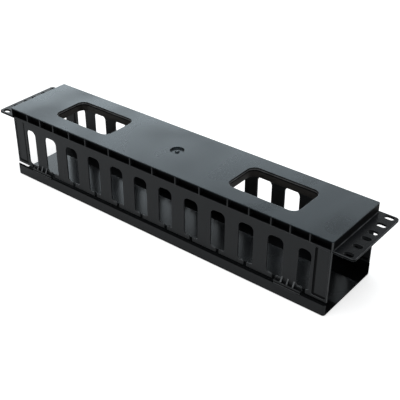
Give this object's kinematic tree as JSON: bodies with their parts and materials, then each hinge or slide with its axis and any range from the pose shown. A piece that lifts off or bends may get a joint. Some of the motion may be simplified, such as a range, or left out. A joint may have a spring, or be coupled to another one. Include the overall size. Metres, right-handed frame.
{
  "type": "horizontal rack cable duct",
  "caption": "Moulded horizontal cable duct for a nineteen inch rack: a finger trough with slotted ears, a windowed back plate and a hinged cover.",
  "frame": {"origin": "middle of the cover's underside, which is the duct's front face when it's in a rack", "axes": "+X across the rack from ear to ear, +Y along the rack's height, +Z from the cover to the back plate"},
  "size_m": [0.4826, 0.0898, 0.0874],
  "materials": {
    "base_plastic": "satin",
    "cover_plastic": "semi-gloss"
  },
  "bodies": {
    "base": {"duct_base": "base_plastic"},
    "cover": {"duct_cover": "cover_plastic"}
  },
  "joints": [
    {"name": "cover_hinge", "type": "hinge", "parent": "base", "child": "cover", "pos_m": [0, -0.0434, 0.0136], "axis": [-1, 0, 0], "range_deg": [0, 105]}
  ]
}
